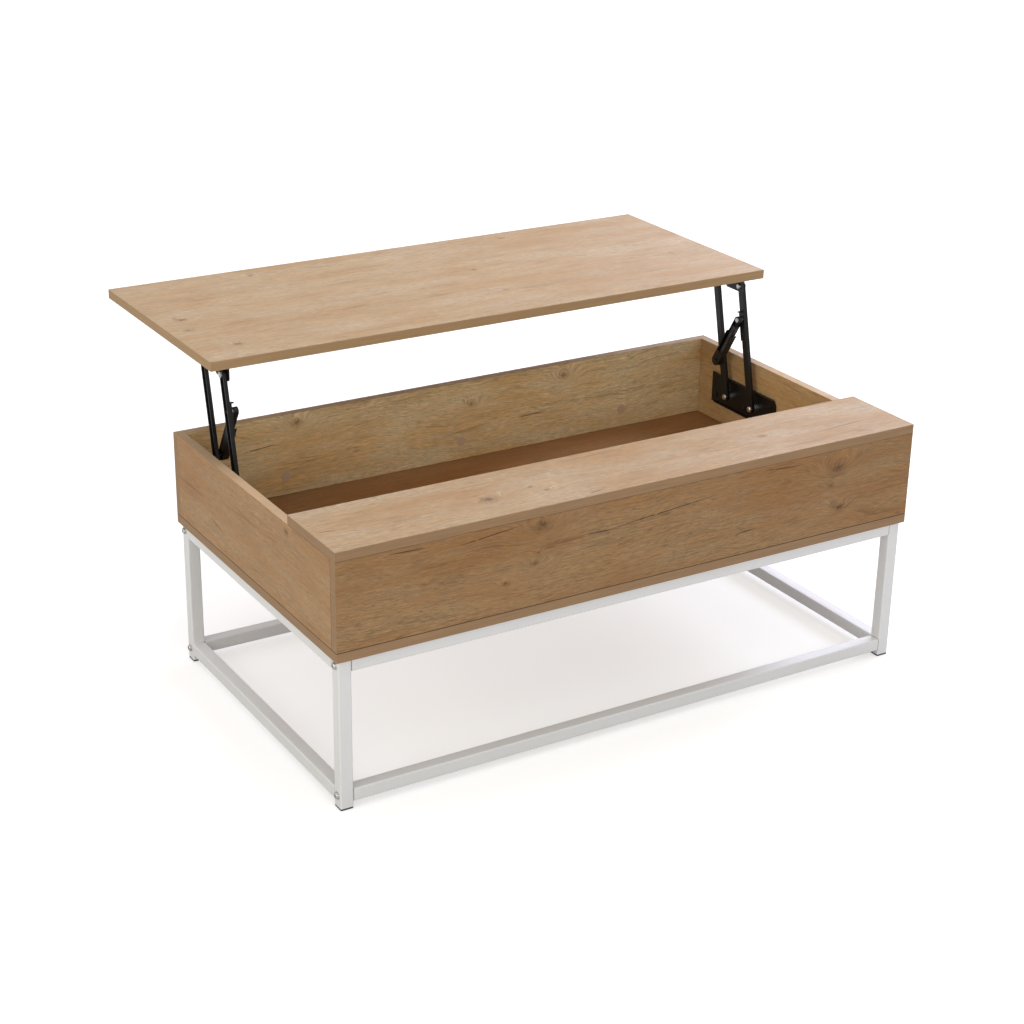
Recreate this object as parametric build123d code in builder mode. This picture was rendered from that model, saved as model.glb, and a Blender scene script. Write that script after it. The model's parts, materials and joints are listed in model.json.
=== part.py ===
from build123d import *
import os
from math import atan2, cos, degrees, hypot, radians, sin

# Lift top coffee table: a panel case on a square-tube frame, with a top that rises and moves back
# on a pair of parallelogram linkages. Everything is in millimetres, with the lift top raised.
#
# Frame: +X along the table, -Y towards the fixed strip of the top ("front"), +Z up. The origin is on
# the floor, midway between the ends and midway between the case's front and the raised top's back edge.
#
# The linkages are described by their depth in from the side panel's inner face.

os.makedirs("parts", exist_ok=True)

# ---- Case -------------------------------------------------------------------------------------
case_width = 1000.0
case_depth = 554.0
case_bottom = 235.0
board = 15.0
wall_height = 135.0
fixed_depth = 146.0
top_gap = 1.0
closed_gap = 0.3
edge_break = 0.5

# ---- Frame ------------------------------------------------------------------------------------
tube = 20.0
tube_wall = 1.5
tube_corner = 2.0
tube_bore_corner = 0.8
leg_inset_x = 5.0
leg_inset_y = 6.0
glide_height = 3.0
glide_chamfer = 0.6
glide_plug_height = 5.0
glide_plug_play = 0.4
low_rail_bottom = 11.0

# ---- Joinery ------------------------------------------------------------------------------------
dowel_radius = 4.0
dowel_length = 30.0
dowel_in_face = 10.0
dowel_in_edge = dowel_length - dowel_in_face
cam_radius = 7.5
cam_height = 12.0
cam_seat = 1.0
cam_rise = 32.0
cam_bolt_radius = 3.0
cam_bolt_in_floor = 10.0
cap_radius = 8.0
cap_thickness = 0.8

# ---- Fasteners ----------------------------------------------------------------------------------
screw_radius = 2.0
screw_hole_radius = 2.3
screw_bite = 11.0
pan_head_radius = 4.0
pan_head_height = 2.0
case_screw_head_radius = 4.5
case_screw_head_height = 2.4
screw_head_round = 1.3
cross_recess_length = 3.8
cross_recess_width = 0.9
cross_recess_depth = 1.1
cap_round = 0.5
lift_screw_bite = 9.5
lift_screw_pilot = 10.0
frame_bolt_radius = 3.0
frame_bolt_hole_radius = 3.2
frame_bolt_beyond_nut = 2.0
frame_head_radius = 5.0
frame_head_height = 2.8
frame_head_round = 1.8
socket_across_flats = 3.8
socket_depth = 1.6
washer_radius = 6.0
washer_thickness = 1.2
nut_plate_thickness = 5.0
nut_plate_corner = 1.0

# ---- Lift linkage -----------------------------------------------------------------------------
lift_rise = 145.0
lift_reach = 248.0
arm_swing = 86.0
pivot_spacing = 70.5
pivot_drop = 15.0
front_base_y = 371.0
front_pin_share = 0.734
rear_pin_share = 0.314

arm_width = 14.0
arm_wall = 2.0
arm_depth = 6.0
arm_edge_round = 1.2
pivot_radius = 3.0
spring_pin_radius = 2.5
running_clearance = 0.05
side_clearance = 0.2
stop_clearance = 0.3

# ---- Places that follow from these --------------------------------------------------------------
overall_depth = case_depth + lift_reach
front = -overall_depth / 2
back = front + case_depth
half_width = case_width / 2
inner_half = half_width - board
floor_top = case_bottom + board
wall_top = floor_top + wall_height
lift_depth = case_depth - fixed_depth - top_gap
lift_front = front + fixed_depth + top_gap + lift_reach
lift_underside = wall_top + closed_gap + lift_rise
leg_x = half_width - leg_inset_x - tube / 2
leg_front_y = front + leg_inset_y + tube / 2
leg_back_y = back - leg_inset_y - tube / 2
high_rail_z = case_bottom - tube / 2
low_rail_z = low_rail_bottom + tube / 2

travel = hypot(lift_reach, lift_rise)
arm_length = travel / (2 * sin(radians(arm_swing / 2)))
arm_angle = 90 + degrees(atan2(lift_rise, lift_reach)) - arm_swing / 2
arm_y = cos(radians(arm_angle))
arm_z = sin(radians(arm_angle))
top_pivot_z = lift_underside - pivot_drop
base_pivot_z = top_pivot_z - arm_length * arm_z
front_base = (front + front_base_y, base_pivot_z)
rear_base = (front_base[0] + pivot_spacing, base_pivot_z)


def along(start, angle, distance, aside=0.0):
    """A point (y, z) at a distance from start along an angle, and so far to its left."""
    c, s = cos(radians(angle)), sin(radians(angle))
    return (start[0] + distance * c - aside * s, start[1] + distance * s + aside * c)


front_top = along(front_base, arm_angle, arm_length)
rear_top = along(rear_base, arm_angle, arm_length)

# The spring link lies between a pin on each arm. Its line turns less than the arms do, and nearly in
# proportion, so the link starts off that line by half of what the proportion misses in mid-swing.


def pin_line(swing):
    """Length and angle of the line from the rear arm's spring pin to the front arm's."""
    low = along(rear_base, arm_angle + swing, rear_pin_share * arm_length)
    high = along(front_base, arm_angle + swing, front_pin_share * arm_length)
    dy, dz = high[0] - low[0], high[1] - low[1]
    return hypot(dy, dz), degrees(atan2(dz, dy))


rest_line, rest_angle = pin_line(0)
middle_angle = pin_line(arm_swing / 2)[1]
closed_angle = pin_line(arm_swing)[1]
link_ratio = (closed_angle - rest_angle) / arm_swing - 1
link_angle = rest_angle + (middle_angle - (rest_angle + closed_angle) / 2) / 2
low_pin = along(rear_base, arm_angle, rear_pin_share * arm_length)
high_pin = along(front_base, arm_angle, front_pin_share * arm_length)
print(f"arm {arm_length:.3f} mm at {arm_angle:.3f} degrees, spring link follows the arms at {link_ratio:.7f}")
print(f"front base pivot {front_base}, rear base pivot {rear_base}")
print(f"front top pivot {front_top}, spring pins {low_pin} and {high_pin}")

# ---- Depths from the side panel's inner face ------------------------------------------------------
plate = 2.5
lip_depth = 3.5
bracket_sheet = 2.0
doubler_sheet = 2.0
arm_outer = 10.5
arm_inner = arm_outer + arm_depth
arm_web = arm_inner - arm_wall
flange_outer = arm_inner + 0.3
flange_inner = flange_outer + bracket_sheet
doubler_inner = arm_inner + doubler_sheet
slider_outer = 21.0
slider_web = 1.0
slider_inner = 28.5
slider_depth = slider_inner - slider_outer - slider_web
housing_outer = 20.6
housing_web_outer = 29.5
housing_inner = 30.7
coil_depth = 25.8


def wall_plane(side, depth):
    """The plane at a depth inside the left (-1) or right (+1) side panel, with Y across and Z up."""
    return Plane.YZ.offset(side * (inner_half - depth))


def inward(side, distance):
    """Extrusion amount from such a plane towards the middle of the table."""
    return -side * distance


def save(part, name):
    """Label a finished sub-part and write its file."""
    part.label = name
    export_step(part, f"parts/{name}.step")


def drill(plane, points, radius, depth):
    """Cut round holes in the open part, from a plane and against its normal."""
    with BuildSketch(plane) as holes:
        with Locations(*points):
            Circle(radius)
    extrude(holes.sketch, amount=-depth, mode=Mode.SUBTRACT)


def lowest(face):
    """Ranks the faces of a piece that is driven upwards, its head first."""
    return face.center().Z


def innermost(face):
    """Ranks the faces of a piece on a wall or a linkage, the one nearest the case's middle first."""
    return hypot(face.center().X, face.center().Y - (front + case_depth / 2))


def rods(name, pieces, head=None, head_round=0.0, recessed=False):
    """Save a group of round pieces, each a list of (plane, point, radius, length) laid end to end.

    head ranks a piece's flat faces. The first gets a rounded rim and, if recessed, a cross recess.
    """
    solids = []
    for piece in pieces:
        with BuildPart() as rod:
            for plane, point, radius, length in piece:
                with BuildSketch(plane) as disc:
                    with Locations(point):
                        Circle(radius)
                extrude(disc.sketch, amount=length)
            if head:
                crown = min(rod.faces().filter_by(GeomType.PLANE), key=head)
                fillet(crown.edges(), head_round)
            if recessed:
                with BuildSketch(Plane(crown)) as cross:
                    Rectangle(cross_recess_length, cross_recess_width)
                    Rectangle(cross_recess_width, cross_recess_length)
                extrude(cross.sketch, amount=-cross_recess_depth, mode=Mode.SUBTRACT)
        solids.append(rod.part.solids()[0])
    save(Compound(children=solids), name)


SIDES = {"left": -1, "right": 1}
LOW = (Align.MIN, Align.MIN, Align.MIN)
CORNER = (Align.MIN, Align.MIN)

# ==== Case =========================================================================================
cam_xs = [-0.32 * case_width, 0.0, 0.32 * case_width]
corner_dowel_zs = [floor_top + 35, wall_top - 35]
floor_dowel_xs = [-0.42 * case_width, -0.16 * case_width, 0.16 * case_width, 0.42 * case_width]
side_dowel_ys = [front + 0.2 * case_depth, front + 0.5 * case_depth, front + 0.8 * case_depth]
front_wall_y = front + board / 2
back_wall_y = back - board / 2
side_wall_x = half_width - board / 2
floor_dowels = [(x, y) for x in floor_dowel_xs for y in (front_wall_y, back_wall_y)]
floor_dowels += [(x, y) for x in (-side_wall_x, side_wall_x) for y in side_dowel_ys]
cam_bolts = [(x, y) for x in cam_xs for y in (front_wall_y, back_wall_y)]
top_dowels = [(x, front_wall_y) for x in floor_dowel_xs]
top_dowels += [(x, front + 0.2 * case_depth) for x in (-side_wall_x, side_wall_x)]


def floor_holes(points, radius, depth):
    """Holes up into the lower edge of a wall panel."""
    drill(Plane.XY.offset(floor_top), points, radius, -depth)


def top_holes(points):
    """Dowel holes down into the upper edge of a wall panel."""
    drill(Plane.XY.offset(wall_top), points, dowel_radius, dowel_in_edge)


# Bottom panel, under all four walls
case_screw_points = [(x, y) for x in cam_xs for y in (leg_front_y, leg_back_y)]
case_screw_points += [(side * leg_x, front + case_depth / 2) for side in SIDES.values()]
with BuildPart() as bottom_panel:
    with Locations((-half_width, front, case_bottom)):
        Box(case_width, case_depth, board, align=LOW)
    chamfer(bottom_panel.edges(), edge_break)
    drill(Plane.XY.offset(floor_top), floor_dowels, dowel_radius, dowel_in_face)
    drill(Plane.XY.offset(floor_top), cam_bolts, cam_bolt_radius, cam_bolt_in_floor)
    drill(Plane.XY.offset(case_bottom), case_screw_points, screw_radius, -screw_bite)
save(bottom_panel.part, "bottom_panel")

# Front and back panels, over the ends of the side panels
for name, wall_y, inner_face, towards in (
    ("front_panel", front_wall_y, front + board, 1),
    ("back_panel", back_wall_y, back - board, -1),
):
    face = Plane((0, inner_face, 0), x_dir=(1, 0, 0), z_dir=(0, towards, 0))
    corner_points = [(x, -towards * z) for x in (-side_wall_x, side_wall_x) for z in corner_dowel_zs]
    cam_points = [(x, -towards * (floor_top + cam_rise)) for x in cam_xs]
    with BuildPart() as panel:
        with Locations((-half_width, wall_y - board / 2, floor_top)):
            Box(case_width, board, wall_height, align=LOW)
        chamfer(panel.edges(), edge_break)
        drill(face, corner_points, dowel_radius, dowel_in_face)
        drill(face, cam_points, cam_radius, cam_height)
        floor_holes([p for p in floor_dowels if p[1] == wall_y], dowel_radius, dowel_in_edge)
        floor_holes([p for p in cam_bolts if p[1] == wall_y], cam_bolt_radius, cam_rise)
        if name == "front_panel":
            top_holes([p for p in top_dowels if p[1] == wall_y])
    save(panel.part, name)

# Side panels, between the front and back panels
bracket_y = (front + 319.0, front + 497.0)
bracket_z = (285.0, 338.0)
bracket_screw_points = [
    (bracket_y[0] + 14, bracket_z[0] + 14),
    (bracket_y[0] + 14, bracket_z[1] - 14),
    (bracket_y[1] - 12, bracket_z[0] + 14),
    ((front_base[0] + rear_base[0]) / 2, bracket_z[0] + 12),
]
for name, side in SIDES.items():
    with BuildPart() as panel:
        with Locations((side * side_wall_x - board / 2, front + board, floor_top)):
            Box(board, case_depth - 2 * board, wall_height, align=LOW)
        chamfer(panel.edges(), edge_break)
        for y, towards in ((front + board, -1), (back - board, 1)):
            end = Plane((0, y, 0), x_dir=(1, 0, 0), z_dir=(0, towards, 0))
            points = [(side * side_wall_x, -towards * z) for z in corner_dowel_zs]
            drill(end, points, dowel_radius, dowel_in_edge)
        floor_holes([p for p in floor_dowels if p[0] == side * side_wall_x], dowel_radius, dowel_in_edge)
        top_holes([p for p in top_dowels if p[0] == side * side_wall_x])
        drill(wall_plane(side, 0), bracket_screw_points, screw_radius, inward(side, screw_bite))
    save(panel.part, f"{name}_panel")

# Fixed strip of the top
with BuildPart() as fixed_top:
    with Locations((-half_width, front, wall_top)):
        Box(case_width, fixed_depth, board, align=LOW)
    chamfer(fixed_top.edges(), edge_break)
    drill(Plane.XY.offset(wall_top), top_dowels, dowel_radius, -dowel_in_face)
save(fixed_top.part, "fixed_top")

# Joinery: dowels, and cam bolts drawn up by cam discs under round caps
upright = Plane.XY.offset(floor_top - dowel_in_face)
pieces = [[(upright, p, dowel_radius, dowel_length)] for p in floor_dowels]
pieces += [
    [(Plane.XY.offset(wall_top - dowel_length + dowel_in_face), p, dowel_radius, dowel_length)]
    for p in top_dowels
]
for y in (front + board - dowel_in_face, back - board + dowel_in_face - dowel_length):
    lengthways = Plane((0, y, 0), x_dir=(1, 0, 0), z_dir=(0, 1, 0))
    pieces += [
        [(lengthways, (x, -z), dowel_radius, dowel_length)]
        for x in (-side_wall_x, side_wall_x)
        for z in corner_dowel_zs
    ]
rods("panel_dowels", pieces)

bolt_plane = Plane.XY.offset(floor_top - cam_bolt_in_floor)
bolt_length = cam_bolt_in_floor + cam_rise - cam_radius
rods("cam_bolts", [[(bolt_plane, p, cam_bolt_radius, bolt_length)] for p in cam_bolts])

discs, caps = [], []
for inner_face, towards in ((front + board, 1), (back - board, -1)):
    for x in cam_xs:
        seat = Plane(
            (x, inner_face - towards * cam_height, floor_top + cam_rise),
            x_dir=(1, 0, 0),
            z_dir=(0, towards, 0),
        )
        discs.append([(seat, (0, 0), cam_radius, cam_height - cam_seat)])
        caps.append([(seat.offset(cam_height), (0, 0), cap_radius, cap_thickness)])
rods("cam_discs", discs)
rods("cam_cover_caps", caps, innermost, cap_round)

# ==== Frame ========================================================================================
tube_bore = tube - 2 * tube_wall
rail_half_length = leg_x - tube / 2
CORNERS = {
    "front_left": (-1, leg_front_y),
    "front_right": (1, leg_front_y),
    "rear_left": (-1, leg_back_y),
    "rear_right": (1, leg_back_y),
}


def square_tube(plane, length):
    """A square tube along a plane's normal, added to the open part."""
    with BuildSketch(plane) as section:
        RectangleRounded(tube, tube, tube_corner)
        RectangleRounded(tube_bore, tube_bore, tube_bore_corner, mode=Mode.SUBTRACT)
    extrude(section.sketch, amount=length)


for name, (side, y) in CORNERS.items():
    outer_face = Plane((side * (leg_x + tube / 2), y, 0), x_dir=(0, 1, 0), z_dir=(side, 0, 0))
    with BuildPart() as leg:
        square_tube(Plane((side * leg_x, y, glide_height)), case_bottom - glide_height)
        drill(outer_face, [(0, side * z) for z in (low_rail_z, high_rail_z)], frame_bolt_hole_radius, tube)
    save(leg.part, f"{name}_leg")

for side_name, side in SIDES.items():
    for level, z in (("upper", high_rail_z), ("lower", low_rail_z)):
        start = Plane((side * leg_x, leg_front_y + tube / 2, z), x_dir=(1, 0, 0), z_dir=(0, 1, 0))
        with BuildPart() as rail:
            square_tube(start, leg_back_y - leg_front_y - tube)
            if level == "upper":
                centre = (side * leg_x, front + case_depth / 2)
                drill(Plane.XY.offset(case_bottom), [centre], screw_hole_radius, tube)
        save(rail.part, f"{side_name}_{level}_rail")

for end_name, y in (("front", leg_front_y), ("rear", leg_back_y)):
    for level, z in (("upper", high_rail_z), ("lower", low_rail_z)):
        start = Plane((-rail_half_length, y, z), x_dir=(0, 1, 0), z_dir=(1, 0, 0))
        with BuildPart() as rail:
            square_tube(start, 2 * rail_half_length)
            if level == "upper":
                drill(Plane.XY.offset(case_bottom), [(x, y) for x in cam_xs], screw_hole_radius, tube)
        save(rail.part, f"{end_name}_{level}_rail")

# Square nut plates welded just inside the long rails' ends, and the pan-head bolts that reach them
nuts, bolts, washers = [], [], []
bolt_reach = washer_thickness + tube + nut_plate_thickness + frame_bolt_beyond_nut
for side, y in CORNERS.values():
    for z in (low_rail_z, high_rail_z):
        rail_end = Plane((side * rail_half_length, y, z), x_dir=(0, 1, 0), z_dir=(-side, 0, 0))
        with BuildPart() as nut:
            with BuildSketch(rail_end) as square:
                RectangleRounded(tube_bore, tube_bore, nut_plate_corner)
                Circle(frame_bolt_radius, mode=Mode.SUBTRACT)
            extrude(square.sketch, amount=nut_plate_thickness)
        nuts.append(nut.part.solids()[0])
        outside = Plane((side * (leg_x + tube / 2), y, z), x_dir=(0, 1, 0), z_dir=(side, 0, 0))
        with BuildPart() as washer:
            with BuildSketch(outside) as ring:
                Circle(washer_radius)
                Circle(frame_bolt_hole_radius, mode=Mode.SUBTRACT)
            extrude(ring.sketch, amount=washer_thickness)
        washers.append(washer.part.solids()[0])
        under_head = outside.offset(washer_thickness)
        with BuildPart() as bolt:
            with BuildSketch(under_head) as shank:
                Circle(frame_bolt_radius)
            extrude(shank.sketch, amount=-bolt_reach)
            with BuildSketch(under_head) as head:
                Circle(frame_head_radius)
            extrude(head.sketch, amount=frame_head_height)
            fillet(bolt.faces().sort_by(Axis.X)[-1 if side > 0 else 0].edges(), frame_head_round)
            with BuildSketch(under_head.offset(frame_head_height)) as socket:
                RegularPolygon(socket_across_flats / 2, 6, major_radius=False)
            extrude(socket.sketch, amount=-socket_depth, mode=Mode.SUBTRACT)
        bolts.append(bolt.part.solids()[0])
save(Compound(children=nuts), "rail_nut_plates")
save(Compound(children=washers), "frame_bolt_washers")
save(Compound(children=bolts), "frame_bolts")

# Glides pushed into the legs
glides = []
glide_plug = tube_bore - glide_plug_play
for side, y in CORNERS.values():
    with BuildPart() as glide:
        with BuildSketch(Plane((side * leg_x, y, 0))) as flange:
            RectangleRounded(tube, tube, tube_corner)
        extrude(flange.sketch, amount=glide_height)
        chamfer(glide.faces().sort_by(Axis.Z)[0].edges(), glide_chamfer)
        with BuildSketch(Plane((side * leg_x, y, glide_height))) as plug:
            RectangleRounded(glide_plug, glide_plug, tube_bore_corner)
        extrude(plug.sketch, amount=glide_plug_height)
    glides.append(glide.part.solids()[0])
save(Compound(children=glides), "leg_glides")


def screws_up(name, points, seat_z, head_radius, head_height, reach):
    """Save screws driven upwards from under a surface at seat_z."""
    head_plane = Plane.XY.offset(seat_z - head_height)
    head = (head_radius, head_height)
    shank = (screw_radius, head_height + reach)
    pieces = [[(head_plane, point, *head), (head_plane, point, *shank)] for point in points]
    rods(name, pieces, lowest, screw_head_round, recessed=True)


# Screws up through the upper rails into the bottom panel
screws_up(
    "case_screws",
    case_screw_points,
    case_bottom - tube,
    case_screw_head_radius,
    case_screw_head_height,
    tube + screw_bite,
)

# ==== Lift top =====================================================================================
bracket_end = 12.0
bracket_flat_width = 32.0
bracket_drop = 24.0
bracket_corner = 5.0
bracket_flat_corner = 3.0
notch = (front_top[0] + 36.0, rear_top[0] - 10.0)
notch_depth = 9.0
bracket_front_y = front_top[0] - bracket_end
bracket_back_y = rear_top[0] + bracket_end
bracket_length = bracket_back_y - bracket_front_y
bracket_middle_y = (bracket_front_y + bracket_back_y) / 2
lift_screw_inset = 14.0
lift_screw_ys = [bracket_front_y + lift_screw_inset, bracket_middle_y, bracket_back_y - lift_screw_inset]
lift_screw_x = inner_half - flange_outer - 20.0
lift_screw_points = [(side * lift_screw_x, y) for side in SIDES.values() for y in lift_screw_ys]

with BuildPart() as lift_top:
    with Locations((-half_width, lift_front, lift_underside)):
        Box(case_width, lift_depth, board, align=LOW)
    chamfer(lift_top.edges(), edge_break)
    drill(Plane.XY.offset(lift_underside), lift_screw_points, screw_radius, -lift_screw_pilot)
save(lift_top.part, "lift_top")

# Angle brackets under the lift top: a flange on edge that the arms turn on, and a flat screwed up
for name, side in SIDES.items():
    flat_x = side * (inner_half - flange_outer - bracket_flat_width / 2)
    with BuildPart() as bracket:
        with BuildSketch(wall_plane(side, flange_outer)) as flange:
            with Locations((bracket_front_y, lift_underside - bracket_drop)):
                Rectangle(bracket_length, bracket_drop, align=CORNER)
            with Locations((notch[0], lift_underside - bracket_drop)):
                Rectangle(notch[1] - notch[0], bracket_drop - notch_depth, align=CORNER, mode=Mode.SUBTRACT)
            fillet(flange.vertices().group_by(Axis.Z)[0], bracket_corner)
            with Locations(front_top, rear_top):
                Circle(pivot_radius, mode=Mode.SUBTRACT)
        extrude(flange.sketch, amount=inward(side, bracket_sheet))
        with BuildSketch(Plane.XY.offset(lift_underside)) as flat:
            with Locations((flat_x, bracket_middle_y)):
                RectangleRounded(bracket_flat_width, bracket_length, bracket_flat_corner)
                with Locations((side * (bracket_flat_width / 2 - bracket_flat_corner), 0)):
                    Rectangle(2 * bracket_flat_corner, bracket_length)
        extrude(flat.sketch, amount=-bracket_sheet)
        drill(
            Plane.XY.offset(lift_underside),
            [p for p in lift_screw_points if p[0] * side > 0],
            screw_hole_radius,
            bracket_sheet,
        )
    save(bracket.part, f"{name}_top_bracket")

screws_up(
    "top_bracket_screws",
    lift_screw_points,
    lift_underside - bracket_sheet,
    pan_head_radius,
    pan_head_height,
    bracket_sheet + lift_screw_bite,
)

# ==== Linkages =====================================================================================
# Base brackets: a plate with folded lips, screwed to the side panel
lip = 2.0
lip_start = 2.0
lip_end = 10.0
bracket_length_y = bracket_y[1] - bracket_y[0]
bracket_height = bracket_z[1] - bracket_z[0]
bracket_cut_corner = 8.0
for name, side in SIDES.items():
    with BuildPart() as bracket:
        with BuildSketch(wall_plane(side, 0)) as outline:
            with Locations((bracket_y[0], bracket_z[0])):
                Rectangle(bracket_length_y, bracket_height, align=CORNER)
            chamfer(outline.vertices().sort_by(Axis.Y)[-2:].sort_by(Axis.Z)[0], bracket_cut_corner)
        extrude(outline.sketch, amount=inward(side, plate))
        with BuildSketch(wall_plane(side, plate)) as lips:
            for z in (bracket_z[0], bracket_z[1] - lip):
                with Locations((bracket_y[0] + lip_start, z)):
                    Rectangle(bracket_length_y - lip_start - lip_end, lip, align=CORNER)
        extrude(lips.sketch, amount=inward(side, lip_depth))
        with BuildSketch(wall_plane(side, 0)) as holes:
            with Locations(*bracket_screw_points):
                Circle(screw_hole_radius)
            with Locations(front_base, rear_base):
                Circle(pivot_radius)
        extrude(holes.sketch, amount=inward(side, plate), mode=Mode.SUBTRACT)
    save(bracket.part, f"{name}_base_bracket")


def pressed_arm(side, base, pin_share):
    """A pressed channel, open towards the side panel, bored for its two pivots and its spring pin."""
    middle = along(base, arm_angle, arm_length / 2)
    with BuildPart() as arm:
        with BuildSketch(wall_plane(side, arm_outer)) as outline:
            with Locations(middle):
                SlotCenterToCenter(arm_length, arm_width, rotation=arm_angle)
        extrude(outline.sketch, amount=inward(side, arm_depth))
        inner_face = arm.faces().sort_by(Axis.X)[0 if side > 0 else -1]
        fillet(inner_face.edges(), arm_edge_round)
        with BuildSketch(wall_plane(side, arm_outer)) as hollow:
            with Locations(middle):
                SlotCenterToCenter(arm_length, arm_width - 2 * arm_wall, rotation=arm_angle)
        extrude(hollow.sketch, amount=inward(side, arm_depth - arm_wall), mode=Mode.SUBTRACT)
        with BuildSketch(wall_plane(side, arm_web)) as bores:
            with Locations(base, along(base, arm_angle, arm_length)):
                Circle(pivot_radius + running_clearance)
            with Locations(along(base, arm_angle, pin_share * arm_length)):
                Circle(spring_pin_radius)
        extrude(bores.sketch, amount=inward(side, arm_wall), mode=Mode.SUBTRACT)
    return arm.part


for name, side in SIDES.items():
    save(pressed_arm(side, front_base, front_pin_share), f"{name}_front_arm")
    save(pressed_arm(side, rear_base, rear_pin_share), f"{name}_rear_arm")

# Doubler plate on the front arm under the spring pin, with its top end folded inwards
doubler_low = 0.56 * arm_length
doubler_high = 0.80 * arm_length
doubler_width = arm_width - 1.0
tooth_sheet = 2.0
tooth_reach = 4.5
tooth_width = 9.0
for name, side in SIDES.items():
    centre = along(front_base, arm_angle, (doubler_low + doubler_high) / 2)
    tooth = along(front_base, arm_angle, doubler_high - tooth_sheet / 2)
    with BuildPart() as doubler:
        with BuildSketch(wall_plane(side, arm_inner)) as outline:
            with Locations(centre):
                Rectangle(doubler_high - doubler_low, doubler_width, rotation=arm_angle)
            with Locations(high_pin):
                Circle(spring_pin_radius, mode=Mode.SUBTRACT)
        extrude(outline.sketch, amount=inward(side, doubler_sheet))
        with BuildSketch(wall_plane(side, doubler_inner)) as fold:
            with Locations(tooth):
                Rectangle(tooth_sheet, tooth_width, rotation=arm_angle)
        extrude(fold.sketch, amount=inward(side, tooth_reach))
    save(doubler.part, f"{name}_front_arm_doubler")


def stepped(side, point, steps):
    """A round piece across the linkage, as (from depth, to depth, radius) steps."""
    return [
        (wall_plane(side, low), point, radius, inward(side, high - low)) for low, high, radius in steps
    ]


collar_radius = 7.0
shoulder_radius = 4.4
rivet_radius = 5.0
rivet_height = 2.6
rivet_round = 2.1
top_nut_thickness = 2.4
top_nut_across_flats = 9.2
top_nut_depth = arm_outer - side_clearance - top_nut_thickness
collar_end = arm_outer - side_clearance
shoulder_end = arm_web - side_clearance
rivet_depth = arm_inner + side_clearance


base_steps = [
    (0, plate, pivot_radius),
    (plate, collar_end, collar_radius),
    (collar_end, shoulder_end, shoulder_radius),
    (shoulder_end, rivet_depth, pivot_radius),
    (rivet_depth, rivet_depth + rivet_height, rivet_radius),
]
top_bolt_steps = [
    (top_nut_depth, flange_inner, pivot_radius),
    (flange_inner, flange_inner + rivet_height, rivet_radius),
]
bracket_screw_steps = [(-screw_bite, plate, screw_radius), (plate, plate + pan_head_height, pan_head_radius)]

# Rubber-sleeved studs that the rear arms lean on when the top is up
stop_radius = 4.0
stop_round = 0.8
stop_height = 25.0
stop_aside = arm_width / 2 + stop_radius + stop_clearance
stop_point = along(rear_base, arm_angle, stop_height, -stop_aside)
stop_steps = [(plate, arm_inner - 1.0, stop_radius)]

for name, points, steps, head_round in (
    ("base_pivots", (front_base, rear_base), base_steps, rivet_round),
    ("top_pivot_bolts", (front_top, rear_top), top_bolt_steps, rivet_round),
    ("arm_stops", (stop_point,), stop_steps, stop_round),
    ("base_bracket_screws", bracket_screw_points, bracket_screw_steps, screw_head_round),
):
    pieces = [stepped(side, point, steps) for side in SIDES.values() for point in points]
    rods(name, pieces, innermost, head_round, recessed=name == "base_bracket_screws")

# Nuts on the outer ends of the top pivot bolts, just clear of the arms
nuts = []
for side in SIDES.values():
    for point in (front_top, rear_top):
        with BuildPart() as nut:
            with BuildSketch(wall_plane(side, top_nut_depth)) as hexagon:
                with Locations(point):
                    RegularPolygon(top_nut_across_flats / 2, 6, major_radius=False)
                    Circle(pivot_radius, mode=Mode.SUBTRACT)
            extrude(hexagon.sketch, amount=inward(side, top_nut_thickness))
        nuts.append(nut.part.solids()[0])
save(Compound(children=nuts), "top_pivot_nuts")

# Spring pins, each fast in its arm. The link's two halves and the spring's eyes turn on them, kept
# apart by collars with a groove at the coil's depth for the eyes.
upset_head = 1.6
upset_radius = 3.6
eye_groove = 0.8
collar = 4.0
cap_head = 4.4
pin_head_round = 0.7
for name, side in SIDES.items():
    high_steps = [
        (arm_web - upset_head, arm_web, upset_radius),
        (arm_web, doubler_inner, spring_pin_radius),
        (doubler_inner, slider_outer - side_clearance, collar),
        (slider_outer - side_clearance, slider_outer + slider_web + side_clearance, spring_pin_radius),
        (slider_outer + slider_web + side_clearance, coil_depth - eye_groove, upset_radius),
        (coil_depth - eye_groove, coil_depth + eye_groove, spring_pin_radius),
        (coil_depth + eye_groove, slider_inner + 0.6, cap_head),
    ]
    low_steps = [
        (arm_web - upset_head, arm_web, upset_radius),
        (arm_web, housing_inner + side_clearance, spring_pin_radius),
        (arm_inner, coil_depth - eye_groove, collar),
        (coil_depth + eye_groove, housing_web_outer - side_clearance, collar),
        (housing_inner + side_clearance, housing_inner + 1.8, cap_head),
    ]
    rods(f"{name}_front_spring_pin", [stepped(side, high_pin, high_steps)], innermost, pin_head_round)
    rods(f"{name}_rear_spring_pin", [stepped(side, low_pin, low_steps)], innermost, pin_head_round)

# Spring link: a slider channel that telescopes in a housing channel, with the spring inside both
housing_half = 8.7
housing_wall = 1.2
housing_length = 68.0
window_start = 22.0
housing_bore_half = housing_half - housing_wall
slider_half = 6.2
slider_wall = 1.0
slider_length = rest_line - 9.0
open_end = 5.0
window_length = housing_length + open_end - window_start


def tongue(start, angle, half, length):
    """A round-ended strip that starts round a pin, in the open sketch."""
    with Locations(start):
        Circle(half)
    with Locations(along(start, angle, length / 2)):
        Rectangle(length, 2 * half, rotation=angle)


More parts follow.
